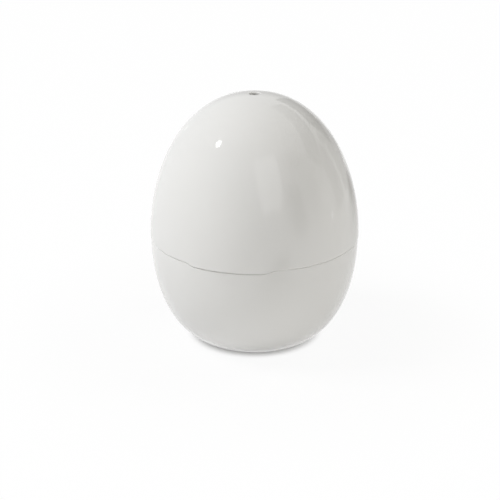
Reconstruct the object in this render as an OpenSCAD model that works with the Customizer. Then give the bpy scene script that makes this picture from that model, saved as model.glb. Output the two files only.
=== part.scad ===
/* [Egg body] */
// Height of the closed egg
egg_h = 159; // [150:1:170]
// Width of the closed egg across its widest circle
egg_w = 133; // [130:1:142]
// Height of the widest circle above the table
widest_z = 67; // [62:1:72]
// Outer width of the foot ring that the egg stands on
foot_w = 73; // [60:1:84]
// Fullness of the dome, where 2 is a plain ellipse
dome_fullness = 2.18; // [2.1:0.01:2.4]
// Fullness of the bowl, where 2 is a plain ellipse
bowl_fullness = 3.6; // [3:0.1:4.5]

/* [Seam] */
// Height of the seam between lid and base
seam_z = 67.7; // [64:0.1:71]
// How far the rim of the lid stands out over the base
lid_overhang = 0.35; // [0.1:0.05:0.8]
// Chamfer on the outer edges that meet at the seam
seam_chamfer = 0.5; // [0.2:0.1:0.8]
// Width of the lower edge of each tongue that hangs from the rim of the lid
tongue_w = 42; // [20:1:60]
// Length of the slope at each end of a tongue
tongue_ramp = 7; // [2:0.5:10]
// How far a tongue hangs below the seam
tongue_drop = 1.6; // [1:0.1:3]
// Direction of the middle of the front tongue, in degrees from +X
tongue_turn = 256; // [230:1:290]
// Gap between the lower edge of a tongue and the floor of its notch
notch_gap = 0.2; // [0.1:0.1:1]
// Gap between the slopes of a tongue and of its notch, along the rim
notch_side = 0.6; // [0.3:0.1:1]

/* [Base bowl] */
// Wall of the base bowl
base_wall = 2.4; // [2:0.1:3]
// Width of the face of the foot ring
foot_ring = 3.5; // [2:0.5:6]
// Depth of the hollow inside the foot ring
foot_hollow = 1.6; // [0.8:0.1:3]
// Height of the neck above the seam
neck_h = 5; // [3:0.5:7]
// Wall of the neck
neck_wall = 1.8; // [1.4:0.1:2.4]
// Gap between the neck and the lid all round
neck_gap = 0.35; // [0.3:0.05:0.6]
// Depth of the tray ledge below the seam
ledge_drop = 7.5; // [5:0.5:12]
// Width of the tray ledge
ledge_w = 3; // [2:0.5:4]
// Height of the water line above the table
water_z = 22; // [14:1:32]

/* [Egg tray] */
// Thickness of the pressed aluminium sheet
sheet_t = 0.8; // [0.6:0.1:1.2]
// Depth of the tray floor below its flange
tray_depth = 11; // [8:1:14]
// Width of the mouth of an egg cup
cup_w = 40; // [36:1:41]
// Depth of an egg cup
cup_depth = 13; // [10:1:16]
// Number of egg cups
cup_count = 4; // [3:1:4]
// Distance of the cups from the middle of the tray
cup_reach = 30.5; // [30:0.5:32]
// Width of the drain hole in each cup
drain_w = 6; // [4:0.5:8]
// Width of the steam holes in the tray floor
steam_w = 3.4; // [2:0.2:4]
// Width of each lifting ear
ear_w = 16; // [12:1:20]
// Height of each lifting ear above the flange
ear_h = 12; // [10:1:13]

/* [Lid] */
// Wall of the lid dome
lid_wall = 2.4; // [2:0.1:3]
// Width of the steam vent at the top
vent_w = 6.5; // [4:0.5:9]
// Radius of the rounded rim of the steam vent
vent_round = 0.8; // [0.4:0.1:1.4]
// Wall of the spigot under the vent
spigot_wall = 1.8; // [1.2:0.1:2.5]
// Length of the spigot below the dome
spigot_h = 3.6; // [3:0.1:5]
// Number of ribs inside the lid that the liner's flange seats on
seat_ribs = 12; // [6:1:18]
// Thickness of each seat rib
seat_rib_t = 1.6; // [1.2:0.1:2.4]

/* [Lid liner] */
// Space between the lid wall and the liner dome
liner_gap = 2; // [1.5:0.1:3]
// Gap around a seated or inserted piece
fit_gap = 0.15; // [0.1:0.05:0.3]
// Height of the retaining ring
ring_h = 4; // [3:0.5:6]
// Width of the retaining ring's section
ring_w = 3; // [2.5:0.5:4]
// How far the snap rib of the ring reaches into the lid
snap_reach = 0.6; // [0.4:0.1:0.8]

/* [Hidden] */
$fn = 96;

plastic_white = "#f1f1ee";
plastic_inner = "#e9e9e4";
aluminium = "#b9bbbd";

egg_r = egg_w / 2;
foot_r = foot_w / 2;
vent_r = vent_w / 2;
// Height that the dome curve would reach if the vent did not cut off its top
dome_h = (egg_h - widest_z) / sqrt(1 - pow((vent_r + vent_round) / egg_r, dome_fullness));
dome_top = widest_z + dome_h;
// Depth that the bowl curve would reach if the foot did not cut it off
bowl_h = widest_z / sqrt(1 - pow(foot_r / egg_r, bowl_fullness));
// The bowl curve runs on a little below the table, where the foot cuts it off
start_angle = -asin(widest_z / bowl_h) - 4;
curve_steps = 30;
reach = egg_w;

neck_top = seam_z + neck_h;
neck_r = min(wall_radius(seam_z - tongue_drop, lid_wall), wall_radius(neck_top, lid_wall)) - neck_gap;
collar_r = neck_r - neck_wall;
neck_lead = neck_wall / 3;
ledge_z = seam_z - ledge_drop;
ledge_r = collar_r - ledge_w;
ledge_t = 1.5;
floor_z = foot_hollow + base_wall;
water_bead = 0.8;

tongue_turns = [tongue_turn, tongue_turn + 180];
notch_z = seam_z - tongue_drop - notch_gap;
rim_r = egg_radius(seam_z);

flange_r = collar_r - 2 * fit_gap;
flange_z = ledge_z + sheet_t;
tray_z = flange_z - tray_depth;
tray_wall_r = ledge_r - sheet_t - 2 * fit_gap;
tray_draft = 3;
tray_bend = 3;
flange_bend = 1.2;
cup_r = cup_w / 2;
cup_ball = (cup_r * cup_r + cup_depth * cup_depth) / (2 * cup_depth);
cup_ball_z = tray_z + cup_ball - cup_depth;
steam_reach = tray_wall_r - tray_draft - 2.5 * steam_w;
// Angle between the steam holes of one row
steam_step = 8;
ear_x = tray_wall_r + 2 * sheet_t;

spigot_r = vent_r + spigot_wall;
spigot_z = dome_top - lid_wall - spigot_h;

ring_z = neck_top + 4 * fit_gap;
ring_top = ring_z + ring_h;
seat_z = ring_top + sheet_t + fit_gap;
ring_r = wall_radius(seat_z, lid_wall) - fit_gap;
liner_inset = lid_wall + liner_gap;
liner_bend = 1.6;
seat_r = wall_radius(seat_z, liner_inset) + liner_gap / 4;
seat_top = dome_height(seat_r + lid_wall) + liner_gap;
snap_half = 0.4;

// Radius of the egg at a height
function egg_radius(z) =
    z >= widest_z
        ? egg_r * pow(max(0, 1 - pow((z - widest_z) / dome_h, 2)), 1 / dome_fullness)
        : egg_r * pow(max(0, 1 - pow((widest_z - z) / bowl_h, 2)), 1 / bowl_fullness);

// Height at which the dome has a radius
function dome_height(r) = widest_z + dome_h * sqrt(max(0, 1 - pow(r / egg_r, dome_fullness)));

// Radius at a height of a wall face that lies some way inside the egg
function wall_radius(z, inset) =
    let (slope = (egg_radius(z + 0.5) - egg_radius(z - 0.5)))
    egg_radius(z) - inset * sqrt(1 + slope * slope);

function unit(v) = v / norm(v);

// Point on the egg curve: 90 degrees is the top, 0 the widest circle
function curve_point(a) =
    a >= 0
        ? [egg_r * pow(cos(a), 2 / dome_fullness), widest_z + dome_h * sin(a)]
        : [egg_r * pow(cos(a), 2 / bowl_fullness), widest_z + bowl_h * sin(a)];

// The same point moved inwards, square to the curve
function inset_point(a, inset) =
    a > 89.9
        ? [0, dome_top - inset]
        : let (ahead = curve_point(a + 0.1), behind = curve_point(a - 0.1), along = unit(ahead - behind))
          curve_point(a) + inset * [-along.y, along.x];

// Curve from below the foot to the top, moved inwards by the inset
function curve(inset) =
    concat(
        [for (i = [0 : curve_steps - 1]) inset_point(start_angle * (1 - i / curve_steps), inset)],
        [for (i = [0 : curve_steps]) inset_point(90 * i / curve_steps, inset)]
    );

// Points of a round bend of radius r at the corner p1
function bend(p0, p1, p2, r, steps = 4) =
    let (
        a = unit(p0 - p1),
        b = unit(p2 - p1),
        half = acos(a * b) / 2,
        centre = p1 + unit(a + b) * r / sin(half),
        start = p1 + a * r / tan(half) - centre,
        end = p1 + b * r / tan(half) - centre,
        from = atan2(start.y, start.x),
        turn = atan2(end.y, end.x) - from,
        sweep = turn > 180 ? turn - 360 : turn < -180 ? turn + 360 : turn
    )
    [for (i = [0 : steps]) centre + r * [cos(from + sweep * i / steps), sin(from + sweep * i / steps)]];

// Sideways offset of a path at point i, so that a sheet keeps its thickness round a corner
function mitre(path, i) =
    let (
        a = max(i, 1),
        b = min(i + 1, len(path) - 1),
        into = unit(path[a] - path[a - 1]),
        away = unit(path[b] - path[b - 1]),
        side = [-into.y - away.y, into.x + away.x]
    )
    side * 2 / (side * side);

// Closed outline of a sheet that follows a path
function sheet(path, t) =
    concat(path, [for (i = [len(path) - 1 : -1 : 0]) path[i] + t * mitre(path, i)]);

// Half section of a solid egg whose skin lies inside the real one by the inset
module egg_area(inset = 0) {
    points = curve(inset);
    polygon(concat([[0, points[0].y]], points));
}

// Part of the half section between two heights
module between(low, high) {
    intersection() {
        children();
        translate([0, low]) square([reach, high - low]);
    }
}

// Section of the space outside the neck between two heights
module outside_neck(low, high) {
    translate([neck_r, low]) square([reach - neck_r, high - low]);
}

// Block as wide as a tongue at each height, with the slopes of its ends carried on past the seam
module tongue_block(turn, down = 0, side = 0) {
    low = seam_z - tongue_drop - down;
    high = seam_z + tongue_drop;
    half = tongue_w / 2 + side;
    spread = (high - low) * tongue_ramp / tongue_drop;
    rotate([0, 0, turn])
        rotate([90, 0, 90])
            linear_extrude(reach)
                polygon([[-half, low], [half, low], [half + spread, high], [-half - spread, high]]);
}

// Corner that is cut off the outer edge of a rim, above (side 1) or below (side -1) it
module rim_chamfer(r, z, side) {
    polygon([
        [r - seam_chamfer, z],
        [r - seam_chamfer, z + side],
        [r + 1, z + side],
        [r + 1, z - side * seam_chamfer],
        [r, z - side * seam_chamfer]
    ]);
}

// Collar inside the rim of the base: neck above the seam, tray ledge below
module collar_section() {
    brace_z = ledge_z - ledge_t - (wall_radius(ledge_z - 2 * ledge_w, base_wall) - ledge_r);
    polygon([
        [neck_r, seam_z],
        [neck_r, neck_top - neck_lead],
        [neck_r - neck_lead, neck_top],
        [collar_r, neck_top],
        [collar_r, ledge_z],
        [ledge_r, ledge_z],
        [ledge_r, ledge_z - ledge_t],
        [wall_radius(brace_z, lid_overhang + base_wall), brace_z],
        [wall_radius(brace_z, lid_overhang + base_wall / 2), brace_z],
        [wall_radius(seam_z, lid_overhang + base_wall / 2), seam_z]
    ]);
}

module base_section() {
    difference() {
        between(0, seam_z) egg_area(lid_overhang);
        between(floor_z, seam_z + 1) egg_area(lid_overhang + base_wall);
        translate([-1, -1]) square([foot_r - foot_ring + 1, foot_hollow + 1]);
        rim_chamfer(rim_r - lid_overhang, seam_z, 1);
    }
    collar_section();
    translate([wall_radius(water_z, lid_overhang + base_wall), water_z]) circle(r = water_bead, $fn = 24);
}

// Lower bowl of the egg, with foot ring, water line, tray ledge and neck
module base_shell() {
    color(plastic_white)
        difference() {
            rotate_extrude() base_section();
            for (turn = tongue_turns)
                intersection() {
                    rotate_extrude() {
                        outside_neck(notch_z, neck_top + 1);
                        rim_chamfer(rim_r - lid_overhang, notch_z, 1);
                    }
                    tongue_block(turn, notch_gap, notch_side);
                }
        }
}

module tray_section() {
    floor_edge = [tray_wall_r - tray_draft, tray_z];
    wall_top = [tray_wall_r, flange_z];
    path = concat(
        [[0, tray_z]],
        bend([0, tray_z], floor_edge, wall_top, tray_bend),
        bend(floor_edge, wall_top, [flange_r, flange_z], flange_bend),
        [[flange_r, flange_z]]
    );
    polygon(sheet(path, -sheet_t));
}

// Ear with a rounded top, bent up from the flange between two cups
module lifting_ear() {
    translate([ear_x, 0, flange_z - sheet_t / 2])
        rotate([90, 0, 90])
            linear_extrude(sheet_t)
                intersection() {
                    translate([-ear_w / 2, 0]) square([ear_w, ear_h + sheet_t / 2]);
                    translate([0, ear_h + sheet_t / 2 - ear_w]) circle(r = ear_w);
                }
}

// Pressed tray with an egg cup for each egg, drain and steam holes and two lifting ears
module egg_tray() {
    cup_step = 360 / cup_count;
    color(aluminium) {
        difference() {
            union() {
                rotate_extrude() tray_section();
                for (i = [0 : cup_count - 1])
                    rotate([0, 0, cup_step * (i + 0.5)])
                        translate([cup_reach, 0, cup_ball_z])
                            intersection() {
                                sphere(r = cup_ball + sheet_t);
                                translate([-cup_ball, -cup_ball, -2 * cup_ball])
                                    cube([2 * cup_ball, 2 * cup_ball, cup_ball + cup_depth - sheet_t / 2]);
                            }
            }
            for (i = [0 : cup_count - 1]) {
                rotate([0, 0, cup_step * (i + 0.5)])
                    translate([cup_reach, 0, cup_ball_z]) {
                        sphere(r = cup_ball);
                        translate([0, 0, -2 * cup_ball]) cylinder(d = drain_w, h = 2 * cup_ball);
                    }
                for (side = [-1 : 1])
                    rotate([0, 0, cup_step * i + side * steam_step])
                        translate([steam_reach, 0, tray_z - 2 * sheet_t])
                            cylinder(d = steam_w, h = 3 * sheet_t);
            }
            translate([0, 0, tray_z - 2 * sheet_t]) cylinder(d = 2 * steam_w, h = 3 * sheet_t);
        }
        for (turn = [0, 180])
            rotate([0, 0, turn]) lifting_ear();
    }
}

// Snap rib of the ring, and with a margin its groove in the lid
module snap_area(margin = 0) {
    middle = ring_z + ring_h / 2;
    polygon([
        [ring_r - 1, middle - snap_half - snap_reach - margin - 1],
        [ring_r + snap_reach + margin, middle - snap_half - margin],
        [ring_r + snap_reach + margin, middle + snap_half + margin],
        [ring_r - 1, middle + snap_half + snap_reach + margin + 1]
    ]);
}

module lid_section() {
    difference() {
        between(seam_z - tongue_drop, dome_top + 1) egg_area();
        egg_area(lid_wall);
        snap_area(fit_gap);
        rim_chamfer(rim_r, seam_z - tongue_drop, -1);
    }
    translate([0, spigot_z]) square([spigot_r, dome_top - lid_wall / 2 - spigot_z]);
}

// Half section of the steam vent, whose rim opens out over a quarter circle
module vent_section() {
    mouth_r = vent_r + vent_round;
    mouth_z = egg_h - vent_round;
    translate([0, spigot_z - 1]) square([vent_r, egg_h - spigot_z + 2]);
    difference() {
        translate([0, mouth_z]) square([mouth_r, 2 * vent_round]);
        translate([mouth_r, mouth_z]) circle(r = vent_round);
    }
}

// Upright rib on the lid wall whose lower end stops the liner's flange
module seat_rib() {
    rotate([90, 0, 0])
        linear_extrude(seat_rib_t, center = true)
            polygon([
                [seat_r, seat_z],
                [wall_radius(seat_z, lid_wall / 2), seat_z],
                [wall_radius(seat_top, lid_wall / 2), seat_top],
                [seat_r, seat_top]
            ]);
}

// Dome of the egg, with its tongues, seat ribs, steam vent and the spigot under it
module lid_shell() {
    color(plastic_white)
        difference() {
            union() {
                rotate_extrude() lid_section();
                for (i = [0 : seat_ribs - 1])
                    rotate([0, 0, 360 * (i + 0.5) / seat_ribs]) seat_rib();
            }
            difference() {
                rotate_extrude() {
                    outside_neck(0, seam_z);
                    rim_chamfer(rim_r, seam_z, -1);
                }
                for (turn = tongue_turns) tongue_block(turn);
            }
            rotate_extrude() vent_section();
        }
}

module liner_section() {
    inside = liner_inset + sheet_t;
    rim = [ring_r - fit_gap, ring_top];
    corner = [wall_radius(ring_top, inside), ring_top];
    wall = [for (p = curve(inside)) if (p.y > seat_top && p.x > vent_r) p];
    path = concat([rim], bend(rim, corner, wall[0], liner_bend), wall);
    polygon(sheet(path, -sheet_t));
}

// Pressed dome that lines the lid, with a flange at its mouth and a hole for the spigot
module lid_liner() {
    color(aluminium)
        difference() {
            rotate_extrude() liner_section();
            translate([0, 0, seat_z]) cylinder(r = spigot_r + 2 * fit_gap, h = egg_h);
        }
}

module ring_section() {
    lead = ring_w / 4;
    polygon([
        [ring_r, ring_z + lead],
        [ring_r, ring_top],
        [ring_r - ring_w, ring_top],
        [ring_r - ring_w, ring_z + lead],
        [ring_r - ring_w + lead, ring_z],
        [ring_r - lead, ring_z]
    ]);
    between(ring_z + lead, ring_top) snap_area();
}

// Moulded ring that snaps into the lid and holds the flange of the liner
module liner_ring() {
    color(plastic_inner)
        rotate_extrude() ring_section();
}

base_shell();
egg_tray();
lid_shell();
lid_liner();
liner_ring();
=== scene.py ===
import math

import bmesh
import bpy
from mathutils import Matrix, Vector


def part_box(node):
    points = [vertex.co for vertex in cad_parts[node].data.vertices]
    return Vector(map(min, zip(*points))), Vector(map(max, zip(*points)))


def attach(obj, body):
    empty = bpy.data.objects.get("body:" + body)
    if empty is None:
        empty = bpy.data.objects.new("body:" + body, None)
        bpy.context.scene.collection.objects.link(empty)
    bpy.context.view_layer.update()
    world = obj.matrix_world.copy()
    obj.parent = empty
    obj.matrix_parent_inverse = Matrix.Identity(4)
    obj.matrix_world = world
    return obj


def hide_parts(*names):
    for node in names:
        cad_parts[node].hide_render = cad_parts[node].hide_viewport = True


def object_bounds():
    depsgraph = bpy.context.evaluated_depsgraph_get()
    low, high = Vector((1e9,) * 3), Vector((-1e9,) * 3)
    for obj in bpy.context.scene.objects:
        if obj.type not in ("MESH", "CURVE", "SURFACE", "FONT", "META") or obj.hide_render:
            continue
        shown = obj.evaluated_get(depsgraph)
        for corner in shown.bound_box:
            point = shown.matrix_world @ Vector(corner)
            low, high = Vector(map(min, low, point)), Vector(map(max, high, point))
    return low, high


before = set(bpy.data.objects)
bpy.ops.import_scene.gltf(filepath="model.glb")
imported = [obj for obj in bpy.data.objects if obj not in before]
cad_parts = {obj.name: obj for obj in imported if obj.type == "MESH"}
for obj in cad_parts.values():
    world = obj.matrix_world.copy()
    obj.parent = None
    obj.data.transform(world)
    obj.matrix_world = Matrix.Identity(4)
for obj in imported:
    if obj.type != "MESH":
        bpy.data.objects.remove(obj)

cad_low, cad_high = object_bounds()

MM = 0.001

# Outline of the egg, as in the solids
EGG_HEIGHT = cad_high.z
EGG_RADIUS = max(cad_high.x, cad_high.y)
EGG_MIDDLE = Vector((0, 0, EGG_HEIGHT / 2))
WIDEST_Z = 67 * MM
FOOT_RADIUS = 36.5 * MM
DOME_FULLNESS = 2.18
BOWL_FULLNESS = 3.6

# Seam between lid and base
SEAM_Z = 67.7 * MM
OVERHANG = 0.35 * MM
RIM_ROUND = 0.8 * MM
TONGUE_WIDTH = 42 * MM
TONGUE_RAMP = 7 * MM
TONGUE_DROP = 1.6 * MM
TONGUE_TURN = 256
NOTCH_GAP = 0.15 * MM
NOTCH_SIDE = 0.2 * MM

# Share of the rims' rounding that closes up half way down a tongue's ramp
RAMP_FLUSH = 0.85

# Height of the straight wall below the base's rim and above the lid's
BASE_RIM = 4 * TONGUE_DROP
LID_RIM = 4 * RIM_ROUND

# Walls and fits
WALL = 2.4 * MM
SHEET = 0.8 * MM
FIT = 0.15 * MM
EDGE_ROUND = 0.3 * MM
BEND_LEAD = 0.12 * MM

# Base
FOOT_RING = 3.5 * MM
FOOT_HOLLOW = 1.6 * MM
NECK_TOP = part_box("base_shell")[1].z
NECK_WALL = 1.8 * MM
NECK_GAP = 0.35 * MM
LEDGE_Z = SEAM_Z - 7.5 * MM
LEDGE_WIDTH = 3 * MM
LEDGE_THICKNESS = 1.5 * MM

# Water line, a bead whose foot, height and lean along the sloping wall are shares of its radius
WATER_Z = 22 * MM
WATER_BEAD = 0.8 * MM
BEAD_FOOT = 1.2
BEAD_OUT = 0.9
BEAD_LEAN = 0.5

# Egg tray
TRAY_DEPTH = 11 * MM
TRAY_DRAFT = 3 * MM
TRAY_BEND = 3 * MM
FLANGE_BEND = 1.2 * MM
CUP_RADIUS = 20 * MM
CUP_DEPTH = 13 * MM
CUP_COUNT = 4
CUP_REACH = 30.5 * MM
CUP_LIP = 0.9 * MM
DRAIN_RADIUS = 3 * MM
STEAM_RADIUS = 1.7 * MM
STEAM_INSET = 5 * STEAM_RADIUS
STEAM_STEP = 8
MIDDLE_HOLE = 2 * STEAM_RADIUS
EAR_WIDTH = 16 * MM
EAR_HEIGHT = 12 * MM
EAR_ROUND = 0.2 * MM

# Lid
VENT_RADIUS = 3.25 * MM
VENT_ROUND = 0.8 * MM
SPIGOT_WALL = 1.8 * MM
SPIGOT_LENGTH = 3.6 * MM
LINER_GAP = 2 * MM
LINER_BEND = 1.6 * MM
RING_WIDTH = 3 * MM
RING_GAP = 4 * FIT
SNAP_REACH = 0.6 * MM
SNAP_HALF = 0.4 * MM
SEAT_RIBS = 12
SEAT_RIB_THICKNESS = 1.6 * MM

# Steps round each turned shell, each egg cup and each small hole
SHELL_STEPS = 360
CUP_STEPS = 96
HOLE_STEPS = 24

# Steps from the mouth of a cup to its drain, and over the top of an ear
CUP_RINGS = 24
EAR_STEPS = 16

# Vertices nearer than this are one, and a point this near to a plane lies in it
MERGE = 0.001 * MM
FLAT = 0.01 * MM

# Edges that turn more than this stay crisp
SHARP_ANGLE = math.radians(40)

VENT_RIM = VENT_RADIUS + VENT_ROUND
DOME_HEIGHT = (EGG_HEIGHT - WIDEST_Z) / math.sqrt(1 - (VENT_RIM / EGG_RADIUS) ** DOME_FULLNESS)
DOME_TOP = WIDEST_Z + DOME_HEIGHT
BOWL_HEIGHT = WIDEST_Z / math.sqrt(1 - (FOOT_RADIUS / EGG_RADIUS) ** BOWL_FULLNESS)


# Egg curve

def egg_radius(z):
    """Radius of the egg at a height."""
    if z >= WIDEST_Z:
        share = 1 - ((z - WIDEST_Z) / DOME_HEIGHT) ** 2
        return EGG_RADIUS * max(share, 0) ** (1 / DOME_FULLNESS)
    share = 1 - ((WIDEST_Z - z) / BOWL_HEIGHT) ** 2
    return EGG_RADIUS * max(share, 0) ** (1 / BOWL_FULLNESS)


def wall_radius(z, inset):
    """Radius at a height of a wall face that lies some way inside the egg."""
    step = 0.5 * MM
    slope = (egg_radius(z + step) - egg_radius(z - step)) / (2 * step)
    return egg_radius(z) - inset * math.sqrt(1 + slope * slope)


def curve_point(angle):
    """Point on the egg curve, where 90 degrees is the top and 0 the widest circle."""
    c, s = max(math.cos(math.radians(angle)), 0), math.sin(math.radians(angle))
    if angle >= 0:
        return Vector((EGG_RADIUS * c ** (2 / DOME_FULLNESS), WIDEST_Z + DOME_HEIGHT * s))
    return Vector((EGG_RADIUS * c ** (2 / BOWL_FULLNESS), WIDEST_Z + BOWL_HEIGHT * s))


def inset_point(angle, inset):
    """The same point moved inwards, square to the curve."""
    step = 0.1
    along = (curve_point(angle + step) - curve_point(angle - step)).normalized()
    return curve_point(angle) + inset * Vector((-along.y, along.x))


def angle_at(z, inset):
    """Angle at which the inset curve passes a height, found by halving."""
    low, high = -88.0, 90.0
    halvings = 40
    for _ in range(halvings):
        middle = (low + high) / 2
        if inset_point(middle, inset).y < z:
            low = middle
        else:
            high = middle
    return high


def curve_between(inset, low, high, step=1.0):
    """Points of the inset curve from one height up to another, about a step in degrees apart."""
    first, last = angle_at(low, inset), angle_at(high, inset)
    count = math.ceil((last - first) / step)
    return [tuple(inset_point(first + (last - first) * i / count, inset)) for i in range(count + 1)]


def bend(before, corner, after, radius, steps=6):
    """Round bend in place of a corner, with a short straight lead at each end."""
    before, corner, after = Vector(before), Vector(corner), Vector(after)
    a, b = (before - corner).normalized(), (after - corner).normalized()
    half = a.angle(b) / 2
    centre = corner + (a + b).normalized() * radius / math.sin(half)
    start = corner + a * radius / math.tan(half) - centre
    sweep = start.angle_signed(corner + b * radius / math.tan(half) - centre)
    arc = [centre + Matrix.Rotation(-sweep * i / steps, 2) @ start for i in range(steps + 1)]
    return [tuple(p) for p in [arc[0] + a * BEND_LEAD, *arc, arc[-1] + b * BEND_LEAD]]


def rounded(outline):
    """Outline in which each corner that carries a third value, its radius, is a round bend."""
    points = []
    for i, point in enumerate(outline):
        if len(point) == 2:
            points.append(tuple(point))
            continue
        before, after = outline[i - 1], outline[(i + 1) % len(outline)]
        points += bend(before[:2], point[:2], after[:2], point[2])
    return points


# Mesh tools

def turned(outline, closed, steps=SHELL_STEPS):
    """Turns a half section round the upright axis: a quarter first, then its three copies."""
    mesh = bmesh.new()
    verts = [mesh.verts.new((r, 0, z)) for r, z in outline]
    edges = [mesh.edges.new(pair) for pair in zip(verts, verts[1:])]
    if closed:
        edges.append(mesh.edges.new((verts[-1], verts[0])))
    axis = {"cent": (0, 0, 0), "axis": (0, 0, 1)}
    bmesh.ops.spin(mesh, geom=verts + edges, angle=math.pi / 2, steps=steps // 4, **axis)
    quarter = [*mesh.verts, *mesh.edges, *mesh.faces]
    bmesh.ops.spin(mesh, geom=quarter, angle=3 * math.pi / 2, steps=3, use_duplicate=True, **axis)
    bmesh.ops.remove_doubles(mesh, verts=mesh.verts, dist=MERGE)
    bmesh.ops.recalc_face_normals(mesh, faces=mesh.faces)
    return mesh


def thick_plate(mesh, corners, thickness):
    """Adds a plate: a face with these corners, and its copy moved by the thickness, a vector.

    Returns the vertices of the plate.
    """
    face = mesh.faces.new([mesh.verts.new(place) for place in corners])
    grown = bmesh.ops.extrude_face_region(mesh, geom=[face])
    moved = [v for v in grown["geom"] if isinstance(v, bmesh.types.BMVert)]
    bmesh.ops.translate(mesh, verts=moved, vec=thickness)
    return [*face.verts, *moved]


def turn_upright(mesh, verts, angle):
    """Turns vertices round the upright axis."""
    bmesh.ops.rotate(mesh, verts=verts, cent=(0, 0, 0), matrix=Matrix.Rotation(angle, 3, "Z"))


def pressed_sheet(mesh, crown, upwards):
    """Turns a surface so that its crown faces up or down, and thickens it on the other side."""
    if (crown.normal.z > 0) != upwards:
        bmesh.ops.reverse_faces(mesh, faces=mesh.faces)
    bmesh.ops.solidify(mesh, geom=mesh.faces, thickness=SHEET)


def add_part(mesh, part):
    """Adds one bmesh to another."""
    data = bpy.data.meshes.new("part")
    part.to_mesh(data)
    part.free()
    mesh.from_mesh(data)
    bpy.data.meshes.remove(data)


def lowered_rim(mesh, corner, low, high, inner, extra_drop, extra_side):
    """Moves the part of a rim between two heights down over the width of each tongue.

    Only what lies further out than the inner radius moves. The rounding at the corner
    radius closes up on the ramps, where both halves lie flush.
    """
    drop = TONGUE_DROP + extra_drop
    ramp = drop * TONGUE_RAMP / TONGUE_DROP
    half = TONGUE_WIDTH / 2 + extra_side
    # A little more than the rounding, so that all its vertices count
    rounding = 1.05 * RIM_ROUND
    along = Matrix.Rotation(math.radians(-TONGUE_TURN), 3, "Z")
    for vert in mesh.verts:
        radius = vert.co.xy.length
        if radius <= inner or not low < vert.co.z < high:
            continue
        aside = abs((along @ vert.co).y)
        share = min(max((half + ramp - aside) / ramp, 0), 1)
        level = share * share * (3 - 2 * share)
        away = Vector((corner - radius, SEAM_Z - vert.co.z))
        if away.length < rounding:
            fill = RAMP_FLUSH * 4 * level * (1 - level)
            vert.co.xy *= 1 + fill * away.x / radius
            vert.co.z += fill * away.y
        vert.co.z -= drop * level


def linked_object(mesh, name, material):
    """Makes an object of a bmesh, with one material."""
    data = bpy.data.meshes.new(name)
    mesh.to_mesh(data)
    mesh.free()
    data.materials.append(material)
    thing = bpy.data.objects.new(name, data)
    bpy.context.collection.objects.link(thing)
    return thing


def finished(mesh, name, body, material, node):
    """Makes a piece that rides on a body and stands for a CAD node, which it hides."""
    piece = linked_object(mesh, name, material)
    piece.data.shade_smooth()
    piece.data.set_sharp_from_angle(angle=SHARP_ANGLE)
    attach(piece, body)
    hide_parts(node)


# Materials

def new_material(name):
    """Node material that starts as a plain shader."""
    material = bpy.data.materials.new(name)
    material.use_nodes = True
    return material, material.node_tree.nodes, material.node_tree.links


def grain(nodes, links, scale, detail, stretch=(1, 1, 1)):
    """Noise on the piece's own coordinates."""
    place = nodes.new("ShaderNodeTexCoord")
    mapping = nodes.new("ShaderNodeMapping")
    mapping.inputs["Scale"].default_value = stretch
    noise = nodes.new("ShaderNodeTexNoise")
    noise.inputs["Scale"].default_value = scale
    noise.inputs["Detail"].default_value = detail
    links.new(place.outputs["Object"], mapping.inputs["Vector"])
    links.new(mapping.outputs["Vector"], noise.inputs["Vector"])
    return noise.outputs["Fac"]


def span(nodes, links, source, low, high):
    """Maps a noise onto a range of values."""
    node = nodes.new("ShaderNodeMapRange")
    node.inputs["To Min"].default_value = low
    node.inputs["To Max"].default_value = high
    links.new(source, node.inputs["Value"])
    return node.outputs["Result"]


def bump(nodes, links, source, shader, strength, distance):
    """Lets a noise tilt the surface a little."""
    node = nodes.new("ShaderNodeBump")
    node.inputs["Strength"].default_value = strength
    node.inputs["Distance"].default_value = distance
    links.new(source, node.inputs["Height"])
    links.new(node.outputs["Normal"], shader.inputs["Normal"])


# What the darker waves of the plastic keep of its red, green and blue
TINT_WAVE = (0.985, 0.985, 0.98)


def moulded_white(name, color, smoothest, roughest):
    """White moulded plastic with the slow waves and faint haze of a mould surface."""
    material, nodes, links = new_material(name)
    shader = nodes["Principled BSDF"]
    shader.inputs["IOR"].default_value = 1.5
    tint = nodes.new("ShaderNodeMix")
    tint.data_type = "RGBA"
    tint.inputs["A"].default_value = (*color, 1)
    tint.inputs["B"].default_value = (*[c * kept for c, kept in zip(color, TINT_WAVE)], 1)
    links.new(grain(nodes, links, scale=18, detail=2), tint.inputs["Factor"])
    links.new(tint.outputs["Result"], shader.inputs["Base Color"])
    haze = grain(nodes, links, scale=140, detail=4)
    links.new(span(nodes, links, haze, smoothest, roughest), shader.inputs["Roughness"])
    wave = grain(nodes, links, scale=34, detail=1)
    bump(nodes, links, wave, shader, strength=0.03, distance=0.4 * MM)
    return material


def pressed_aluminium(name):
    """Drawn aluminium sheet with fine turned streaks."""
    material, nodes, links = new_material(name)
    shader = nodes["Principled BSDF"]
    shader.inputs["Base Color"].default_value = (0.80, 0.81, 0.82, 1)
    shader.inputs["Metallic"].default_value = 1
    streaks = grain(nodes, links, scale=120, detail=5, stretch=(1, 1, 14))
    links.new(span(nodes, links, streaks, low=0.24, high=0.42), shader.inputs["Roughness"])
    bump(nodes, links, streaks, shader, strength=0.15, distance=0.05 * MM)
    return material


gloss_white = moulded_white("gloss_white_plastic", (0.80, 0.80, 0.789), smoothest=0.062, roughest=0.074)
inner_white = moulded_white("satin_white_plastic", (0.78, 0.78, 0.76), smoothest=0.28, roughest=0.36)
aluminium = pressed_aluminium("drawn_aluminium")


# Base bowl

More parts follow.
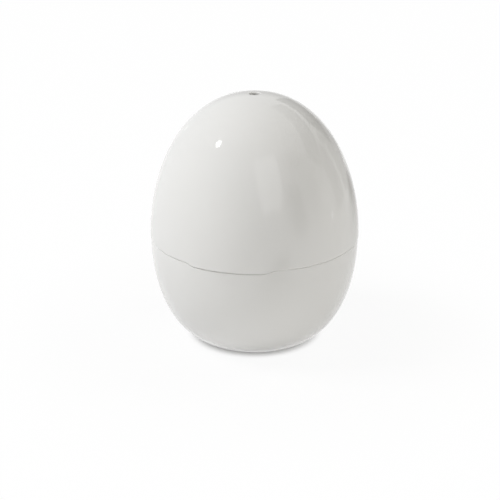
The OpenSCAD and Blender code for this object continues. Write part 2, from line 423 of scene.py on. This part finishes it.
neck_radius = min(wall_radius(SEAM_Z - TONGUE_DROP, WALL), wall_radius(NECK_TOP, WALL)) - NECK_GAP
collar_radius = neck_radius - NECK_WALL
ledge_radius = collar_radius - LEDGE_WIDTH


def water_line(wall):
    """Half section of the bead on the bowl's wall, from its lower end to its upper end."""
    points = []
    for turn in range(-75, 76, 15):
        angle = math.radians(turn)
        out = WATER_BEAD * (BEAD_OUT * math.cos(angle) - BEAD_LEAN * turn / 90)
        points.append((wall - out, WATER_Z + WATER_BEAD * math.sin(angle)))
    return points


def base_bowl():
    inset = OVERHANG + WALL
    floor_z = FOOT_HOLLOW + WALL
    # The ledge's underside slopes down to the wall at about 45 degrees
    brace_z = LEDGE_Z - LEDGE_THICKNESS - (wall_radius(LEDGE_Z - 2 * LEDGE_WIDTH, WALL) - ledge_radius)
    bead_half = BEAD_FOOT * WATER_BEAD
    rim_radius = wall_radius(SEAM_Z, OVERHANG)
    outline = [(0, floor_z)]
    outline += curve_between(inset, floor_z, WATER_Z - bead_half)
    outline += water_line(wall_radius(WATER_Z, inset))
    outline += curve_between(inset, WATER_Z + bead_half, brace_z)
    outline += [
        (ledge_radius, LEDGE_Z - LEDGE_THICKNESS, EDGE_ROUND),
        (ledge_radius, LEDGE_Z, EDGE_ROUND),
        (collar_radius, LEDGE_Z, EDGE_ROUND),
        (collar_radius, NECK_TOP, EDGE_ROUND),
        (neck_radius, NECK_TOP, NECK_WALL / 2),
        (neck_radius, SEAM_Z),
        (rim_radius, SEAM_Z, RIM_ROUND),
    ]
    outline += reversed(curve_between(OVERHANG, 0, SEAM_Z - BASE_RIM))
    outline[-1] = (*outline[-1], EDGE_ROUND)
    outline += [
        (FOOT_RADIUS - FOOT_RING, 0, EDGE_ROUND),
        (FOOT_RADIUS - FOOT_RING, FOOT_HOLLOW, EDGE_ROUND),
        (0, FOOT_HOLLOW),
    ]
    mesh = turned(rounded(outline), closed=False)
    low, high = SEAM_Z - TONGUE_DROP, SEAM_Z + FIT
    lowered_rim(mesh, rim_radius, low, high, neck_radius - FIT, NOTCH_GAP, NOTCH_SIDE)
    finished(mesh, "base_bowl", "base", gloss_white, "base_shell")


# Egg tray

flange_radius = collar_radius - 2 * FIT
flange_z = LEDGE_Z + SHEET
tray_z = flange_z - TRAY_DEPTH
tray_radius = ledge_radius - SHEET - 2 * FIT


def steam_holes():
    """Middle and radius of each steam hole: three between each two cups, and one in the middle."""
    reach = tray_radius - TRAY_DRAFT - STEAM_INSET
    for row in range(CUP_COUNT):
        for side in (-1, 0, 1):
            turn = math.radians(360 / CUP_COUNT * row + side * STEAM_STEP)
            yield reach * math.cos(turn), reach * math.sin(turn), STEAM_RADIUS
    yield 0, 0, MIDDLE_HOLE


def cup_outline():
    """Half section of an egg cup, from the tray floor over its lip to the drain hole."""
    ball = (CUP_RADIUS ** 2 + CUP_DEPTH ** 2) / (2 * CUP_DEPTH)
    ball_z = tray_z + ball - CUP_DEPTH
    mouth = math.asin(CUP_RADIUS / ball)
    drain = math.asin(DRAIN_RADIUS / ball)
    sphere = []
    for i in range(1, CUP_RINGS + 1):
        angle = mouth + (drain - mouth) * i / CUP_RINGS
        sphere.append((ball * math.sin(angle), ball_z - ball * math.cos(angle)))
    return bend((CUP_RADIUS + CUP_LIP, tray_z), (CUP_RADIUS, tray_z), sphere[0], CUP_LIP) + sphere


def lifting_ear(turn):
    """Upright plate on the flange between two cups. Its top is an arc, as wide as its radius."""
    mesh = bmesh.new()
    x = tray_radius + 2 * SHEET
    low, top = flange_z - SHEET / 2, flange_z + EAR_HEIGHT
    edge = [(x, EAR_WIDTH / 2, low)]
    widest = math.asin(1 / 2)
    for i in range(EAR_STEPS + 1):
        a = widest * (1 - 2 * i / EAR_STEPS)
        edge.append((x, EAR_WIDTH * math.sin(a), top - EAR_WIDTH * (1 - math.cos(a))))
    edge.append((x, -EAR_WIDTH / 2, low))
    thick_plate(mesh, edge, thickness=(SHEET, 0, 0))
    bmesh.ops.recalc_face_normals(mesh, faces=mesh.faces)
    rims = [e for e in mesh.edges if e.calc_face_angle() > math.radians(60)]
    bmesh.ops.bevel(
        mesh, geom=rims, offset=EAR_ROUND, affect="EDGES", segments=2,
        profile=0.5, material=-1, clamp_overlap=True,
    )
    turn_upright(mesh, mesh.verts, turn)
    return mesh


def pressed_tray():
    floor_edge = (tray_radius - TRAY_DRAFT, tray_z)
    wall_top = (tray_radius, flange_z)
    wall = bend((0, tray_z), floor_edge, wall_top, TRAY_BEND)
    wall += bend(floor_edge, wall_top, (flange_radius, flange_z), FLANGE_BEND)
    wall += [(flange_radius, flange_z)]
    mesh = turned(wall, closed=False)
    for i in range(CUP_COUNT):
        turn = math.radians(360 / CUP_COUNT * (i + 0.5))
        cup = turned(cup_outline(), closed=False, steps=CUP_STEPS)
        middle = (CUP_REACH * math.cos(turn), CUP_REACH * math.sin(turn), 0)
        bmesh.ops.translate(cup, verts=cup.verts, vec=middle)
        add_part(mesh, cup)
    for x, y, radius in steam_holes():
        bmesh.ops.create_circle(
            mesh, cap_ends=False, radius=radius, segments=HOLE_STEPS,
            matrix=Matrix.Translation((x, y, tray_z)),
        )
    bmesh.ops.remove_doubles(mesh, verts=mesh.verts, dist=MERGE)
    open_edges = [
        e for e in mesh.edges
        if len(e.link_faces) < 2 and all(abs(v.co.z - tray_z) < FLAT for v in e.verts)
    ]
    bmesh.ops.triangle_fill(mesh, use_beauty=True, edges=open_edges, normal=(0, 0, 1))
    bmesh.ops.recalc_face_normals(mesh, faces=mesh.faces)
    middle_face = min(mesh.faces, key=lambda f: f.calc_center_median().xy.length)
    pressed_sheet(mesh, middle_face, upwards=True)
    for turn in (0, math.pi):
        add_part(mesh, lifting_ear(turn))
    finished(mesh, "pressed_tray", "base", aluminium, "egg_tray")


# Lid dome

ring_low = NECK_TOP + RING_GAP
ring_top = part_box("liner_ring")[1].z
ring_middle = (ring_low + ring_top) / 2
seat_z = ring_top + SHEET + FIT
ring_radius = wall_radius(seat_z, WALL) - FIT
liner_inset = WALL + LINER_GAP
spigot_radius = VENT_RADIUS + SPIGOT_WALL
spigot_z = DOME_TOP - WALL - SPIGOT_LENGTH


def seat_ribs():
    """Upright ribs, rooted half way into the lid wall, that the liner's flange seats against."""
    mesh = bmesh.new()
    inner = wall_radius(seat_z, liner_inset) + LINER_GAP / 4
    share = 1 - ((inner + WALL) / EGG_RADIUS) ** DOME_FULLNESS
    top = WIDEST_Z + DOME_HEIGHT * math.sqrt(share) + LINER_GAP
    side = -SEAT_RIB_THICKNESS / 2
    corners = [
        (inner, side, seat_z),
        (wall_radius(seat_z, WALL / 2), side, seat_z),
        (wall_radius(top, WALL / 2), side, top),
        (inner, side, top),
    ]
    for i in range(SEAT_RIBS):
        rib = thick_plate(mesh, corners, thickness=(0, SEAT_RIB_THICKNESS, 0))
        turn_upright(mesh, rib, 2 * math.pi * (i + 0.5) / SEAT_RIBS)
    bmesh.ops.recalc_face_normals(mesh, faces=mesh.faces)
    return mesh


def lid_dome():
    # Half height and radius of the groove that the ring snaps into
    groove = SNAP_HALF + FIT
    reach = ring_radius + SNAP_REACH + FIT
    inside = curve_between(WALL, ring_middle + 2 * groove, DOME_TOP - WALL)
    inside = [p for p in inside if p[0] > spigot_radius]
    level_with_vent = (EGG_RADIUS, EGG_HEIGHT)
    vent_rim = (VENT_RADIUS, EGG_HEIGHT)
    vent_end = (VENT_RADIUS, spigot_z)
    outline = curve_between(0, SEAM_Z + LID_RIM, EGG_HEIGHT)[:-1]
    outline += bend(level_with_vent, vent_rim, vent_end, VENT_ROUND)[1:]
    outline += [
        (*vent_end, EDGE_ROUND),
        (spigot_radius, spigot_z, EDGE_ROUND),
        (spigot_radius, inside[-1][1]),
    ]
    outline += reversed(inside)
    outline += [(reach, ring_middle + groove), (reach, ring_middle - groove)]
    outline += reversed(curve_between(WALL, SEAM_Z + LID_RIM, ring_middle - 2 * groove))
    outline += [
        (wall_radius(SEAM_Z, WALL), SEAM_Z, EDGE_ROUND),
        (egg_radius(SEAM_Z), SEAM_Z, RIM_ROUND),
    ]
    mesh = turned(rounded(outline), closed=True)
    low, high = SEAM_Z - FIT, SEAM_Z + 3 * RIM_ROUND
    lowered_rim(mesh, egg_radius(SEAM_Z), low, high, neck_radius, extra_drop=0, extra_side=0)
    add_part(mesh, seat_ribs())
    finished(mesh, "lid_dome", "lid", gloss_white, "lid_shell")


# Liner and its ring

def drawn_liner():
    inside = liner_inset + SHEET
    dome = curve_between(inside, ring_top + 2 * LINER_BEND, DOME_TOP - inside)
    dome = [p for p in dome if p[0] > spigot_radius + 2 * FIT]
    corner = (wall_radius(ring_top, inside), ring_top)
    rim = (ring_radius - FIT, ring_top)
    mesh = turned([rim] + bend(rim, corner, dome[0], LINER_BEND) + dome, closed=False)
    crown = max(mesh.faces, key=lambda f: f.calc_center_median().z)
    pressed_sheet(mesh, crown, upwards=False)
    finished(mesh, "drawn_liner", "lid", aluminium, "lid_liner")


def snap_ring():
    lead = RING_WIDTH / 4
    reach = ring_radius + SNAP_REACH
    inner = ring_radius - RING_WIDTH
    outline = [
        (ring_radius, ring_low + lead),
        (ring_radius, ring_middle - SNAP_HALF - SNAP_REACH),
        (reach, ring_middle - SNAP_HALF),
        (reach, ring_middle + SNAP_HALF),
        (ring_radius, ring_middle + SNAP_HALF + SNAP_REACH),
        (ring_radius, ring_top),
        (inner, ring_top, EDGE_ROUND),
        (inner, ring_low, lead),
        (ring_radius - lead, ring_low),
    ]
    mesh = turned(rounded(outline), closed=True)
    finished(mesh, "snap_ring", "lid", inner_white, "liner_ring")


base_bowl()
pressed_tray()
lid_dome()
drawn_liner()
snap_ring()


# Floor

FLOOR_HALF = 6
FLOOR_GREY = 0.86

# Share of plain white in what the camera sees of the floor: under the foot, near and far. A lower share
# paints shade on the floor round the egg and lets the floor's own shadow show
CONTACT_WHITE = 0.2
NEAR_WHITE = 0.93
FAR_WHITE = 0.99

# How far from the foot the painted contact shade ends, and how far from the axis the floor is whitest
CONTACT_FADE = 9 * MM
WHITEST = 3 * EGG_RADIUS


def seen_rays(nodes, links):
    """One for the rays that show the surroundings: camera, mirror and glass rays."""
    path = nodes.new("ShaderNodeLightPath")
    total = path.outputs["Is Camera Ray"]
    for kind in ("Is Glossy Ray", "Is Transmission Ray"):
        most = nodes.new("ShaderNodeMath")
        most.operation = "MAXIMUM"
        links.new(total, most.inputs[0])
        links.new(path.outputs[kind], most.inputs[1])
        total = most.outputs[0]
    return total


def distance_from_middle(nodes, links, stretch=(1, 1, 1)):
    """Distance from the object's own middle, for fades on the floor and the flags."""
    place = nodes.new("ShaderNodeTexCoord")
    scaled = nodes.new("ShaderNodeVectorMath")
    scaled.operation = "MULTIPLY"
    scaled.inputs[1].default_value = stretch
    length = nodes.new("ShaderNodeVectorMath")
    length.operation = "LENGTH"
    links.new(place.outputs["Object"], scaled.inputs[0])
    links.new(scaled.outputs["Vector"], length.inputs[0])
    return length.outputs["Value"]


def fade(nodes, links, source, near, far, near_value, far_value):
    """Smooth change from one value to another over a stretch of distance."""
    node = nodes.new("ShaderNodeMapRange")
    node.interpolation_type = "SMOOTHSTEP"
    node.inputs["From Min"].default_value = near
    node.inputs["From Max"].default_value = far
    node.inputs["To Min"].default_value = near_value
    node.inputs["To Max"].default_value = far_value
    links.new(source, node.inputs["Value"])
    return node.outputs["Result"]


def product(nodes, links, first, second):
    """One value times another."""
    node = nodes.new("ShaderNodeMath")
    node.operation = "MULTIPLY"
    links.new(first, node.inputs[0])
    links.new(second, node.inputs[1])
    return node.outputs[0]


def white_floor():
    """Pale floor that shows white far from the egg; close to the foot its white glow fades, which
    paints a shade there and lets its own shadow show.
    """
    material, nodes, links = new_material("white_floor")
    shader = nodes["Principled BSDF"]
    shader.inputs["Base Color"].default_value = (FLOOR_GREY, FLOOR_GREY, FLOOR_GREY, 1)
    shader.inputs["Roughness"].default_value = 0.6
    shader.inputs["Specular IOR Level"].default_value = 0.2
    material.cycles.emission_sampling = "NONE"
    glow = nodes.new("ShaderNodeEmission")
    glow.inputs["Strength"].default_value = 1
    mix = nodes.new("ShaderNodeMixShader")
    # Less white glow towards the egg and its foot paints shade on the floor, which the egg's gloss
    # reflects too
    away = distance_from_middle(nodes, links)
    foot = fade(nodes, links, away, FOOT_RADIUS, FOOT_RADIUS + CONTACT_FADE, CONTACT_WHITE, 1)
    wide = fade(nodes, links, away, EGG_RADIUS, WHITEST, NEAR_WHITE, FAR_WHITE)
    white = product(nodes, links, foot, wide)
    links.new(product(nodes, links, seen_rays(nodes, links), white), mix.inputs["Fac"])
    links.new(shader.outputs["BSDF"], mix.inputs[1])
    links.new(glow.outputs["Emission"], mix.inputs[2])
    links.new(mix.outputs["Shader"], nodes["Material Output"].inputs["Surface"])
    mesh = bmesh.new()
    bmesh.ops.create_grid(mesh, x_segments=1, y_segments=1, size=FLOOR_HALF)
    linked_object(mesh, "floor", material)


white_floor()


# Light

WORLD_LEVEL = 0.14
WHITE = (1, 1, 1)
WARM = (1, 0.97, 0.91)
SOFTBOX_DISTANCE = 1.5
SOFTBOX_WIDTH = 0.5


def from_angles(azimuth, elevation, distance):
    """Place round the egg: azimuth 0 is towards the camera's side, 90 to its right."""
    a, e = math.radians(azimuth), math.radians(elevation)
    outwards = Vector((math.sin(a) * math.cos(e), -math.cos(a) * math.cos(e), math.sin(e)))
    return EGG_MIDDLE + distance * outwards


def facing_egg(thing, azimuth, elevation, distance, lean=0):
    """Places a lamp or card round the egg, its face towards the egg.

    A lean, in degrees, lifts the side with the higher azimuth and lowers the other.
    """
    thing.location = from_angles(azimuth, elevation, distance)
    towards = EGG_MIDDLE - thing.location
    turn = towards.to_track_quat("-Z", "Y").to_matrix() @ Matrix.Rotation(math.radians(lean), 3, "Z")
    thing.rotation_euler = turn.to_euler()


def studio_world():
    """Weak even light from all sides, which the camera and the gloss see as white."""
    world = bpy.data.worlds.new("studio")
    world.use_nodes = True
    nodes, links = world.node_tree.nodes, world.node_tree.links
    lit = nodes["Background"]
    lit.inputs["Color"].default_value = (*WHITE, 1)
    lit.inputs["Strength"].default_value = WORLD_LEVEL
    white = nodes.new("ShaderNodeBackground")
    white.inputs["Color"].default_value = (*WHITE, 1)
    white.inputs["Strength"].default_value = 1
    mix = nodes.new("ShaderNodeMixShader")
    links.new(seen_rays(nodes, links), mix.inputs["Fac"])
    links.new(lit.outputs["Background"], mix.inputs[1])
    links.new(white.outputs["Background"], mix.inputs[2])
    links.new(mix.outputs["Shader"], nodes["World Output"].inputs["Surface"])
    bpy.context.scene.world = world


def area_lamp(name, shape, width, height, power, color=WHITE):
    """Lamp with an even face, not placed yet."""
    light = bpy.data.lights.new(name, "AREA")
    light.color = color
    light.shape = shape
    light.size = width
    light.size_y = height
    light.energy = power
    lamp = bpy.data.objects.new(name, light)
    bpy.context.collection.objects.link(lamp)
    return lamp


def softbox(name, azimuth, elevation, height, power, color=WHITE):
    """Large lamp that lights the egg but isn't seen in its gloss."""
    lamp = area_lamp(name, "RECTANGLE", SOFTBOX_WIDTH, height, power, color)
    lamp.visible_glossy = False
    facing_egg(lamp, azimuth, elevation, SOFTBOX_DISTANCE)


def window(name, azimuth, elevation, distance, width, height, power, lean):
    """Bright window that only mirror reflections see."""
    pane = area_lamp(name, "RECTANGLE", width, height, power)
    pane.visible_diffuse = False
    facing_egg(pane, azimuth, elevation, distance, lean)


def spark(name, azimuth, elevation, distance, diameter, power):
    """Small round lamp that only mirror reflections see."""
    lamp = area_lamp(name, "DISK", diameter, diameter, power)
    lamp.visible_diffuse = False
    facing_egg(lamp, azimuth, elevation, distance)


def card(name, width, height, depth, soft=True):
    """Dark card that only mirror reflections see, as a photographer's flag, not placed yet.

    A depth of 1 is black, and a soft card fades to white towards its edges.
    """
    material, nodes, links = new_material(name)
    material.cycles.emission_sampling = "NONE"
    shade = nodes.new("ShaderNodeEmission")
    shade.inputs["Strength"].default_value = 1 - depth
    if soft:
        away = distance_from_middle(nodes, links, (2 / width, 2 / height, 1))
        links.new(fade(nodes, links, away, 0, 1, 1 - depth, 1), shade.inputs["Strength"])
    links.new(shade.outputs["Emission"], nodes["Material Output"].inputs["Surface"])
    mesh = bmesh.new()
    stretch = Matrix.Diagonal((width / 2, height / 2, 1, 1))
    bmesh.ops.create_grid(mesh, x_segments=1, y_segments=1, size=1, matrix=stretch)
    thing = linked_object(mesh, name, material)
    thing.visible_camera = False
    thing.visible_diffuse = False
    thing.visible_shadow = False
    return thing


def flag(name, azimuth, elevation, distance, width, height, depth, lean=0, soft=True):
    """Stands a card beside the set."""
    facing_egg(card(name, width, height, depth, soft), azimuth, elevation, distance, lean)


def floor_flag(name, x, y, turn, width, height, depth):
    """Lays a card on the floor, turned from the depth of the picture."""
    laid = card(name, width, height, depth)
    laid.location = (x, y, MM)
    laid.rotation_euler = (0, 0, math.radians(turn))


studio_world()

# Softboxes: azimuth, elevation, height, power
softbox("key_left", -90, 50, 0.5, 15)
softbox("fill_left", -60, 4, 0.4, 2.7)
softbox("fill_front", 20, 15, 0.5, 4.9, WARM)
softbox("fill_right", 85, 3, 0.22, 2.2, WARM)
softbox("top_right", 110, 50, 0.5, 4.4, WARM)

# Window: azimuth, elevation, distance, width, height, power, lean
window("window", 19, 32, 1.0, 0.47, 0.72, 1.0, 6)

# Sparks: azimuth, elevation, distance, diameter, power
spark("key_spark", -76, 50, 1.5, 0.17, 0.85)
spark("right_spark", 92, -3, 1.0, 0.06, 0.02)
spark("left_spark", -150, 8, 1.5, 0.05, 0.008)

# Flags beside the set: azimuth, elevation, distance, width, height, depth
flag("flag_front", 50, 12, 1.0, 0.7, 1.3, 0.95)
flag("flag_wide", 64, 14, 1.0, 0.9, 1.3, 0.41)
flag("flag_high", 60, 38, 1.0, 0.7, 0.7, 0.42)
flag("flag_right", 110, 10, 1.0, 0.34, 0.5, 0.45, lean=4, soft=False)
flag("flag_right_back", 142, 9, 1.0, 0.6, 0.54, 0.42, soft=False)
flag("flag_right_edge", 152, 21, 0.95, 0.5, 0.4, 0.8, lean=8, soft=False)
flag("flag_right_high", 120, 41, 1.0, 1.1, 0.34, 0.5, lean=24, soft=False)
flag("flag_behind", 176, 14, 1.2, 1.5, 0.8, 0.5)

# Flags on the floor: x, y, turn, width, height, depth
floor_flag("flag_floor", 0.105, -0.235, 36, 0.17, 0.6, 1.0)
floor_flag("flag_floor_back", 0.45, 0.52, -37, 0.4, 1.3, 0.9)


# Camera

CAMERA_ELEVATION = 20
CAMERA_DISTANCE = 0.8
SENSOR_MM = 36
FRAME_PX = 500
EGG_CENTRE_PX = Vector((254.5, 215))
PX_PER_METRE = 1567


def camera():
    """Camera in front of the egg, aimed so that the egg's middle lies at its place in the frame."""
    data = bpy.data.cameras.new("camera")
    data.sensor_width = SENSOR_MM
    data.lens = PX_PER_METRE * CAMERA_DISTANCE * SENSOR_MM / FRAME_PX
    view = bpy.data.objects.new("camera", data)
    view.location = from_angles(0, CAMERA_ELEVATION, CAMERA_DISTANCE)
    tilt = math.radians(CAMERA_ELEVATION)
    up = Vector((0, math.sin(tilt), math.cos(tilt)))
    off = (EGG_CENTRE_PX - Vector((FRAME_PX / 2, FRAME_PX / 2))) / PX_PER_METRE
    aim = EGG_MIDDLE - off.x * Vector((1, 0, 0)) + off.y * up
    view.rotation_euler = (aim - view.location).to_track_quat("-Z", "Y").to_euler()
    bpy.context.collection.objects.link(view)
    bpy.context.scene.camera = view


camera()
bpy.context.scene.view_settings.view_transform = "Standard"
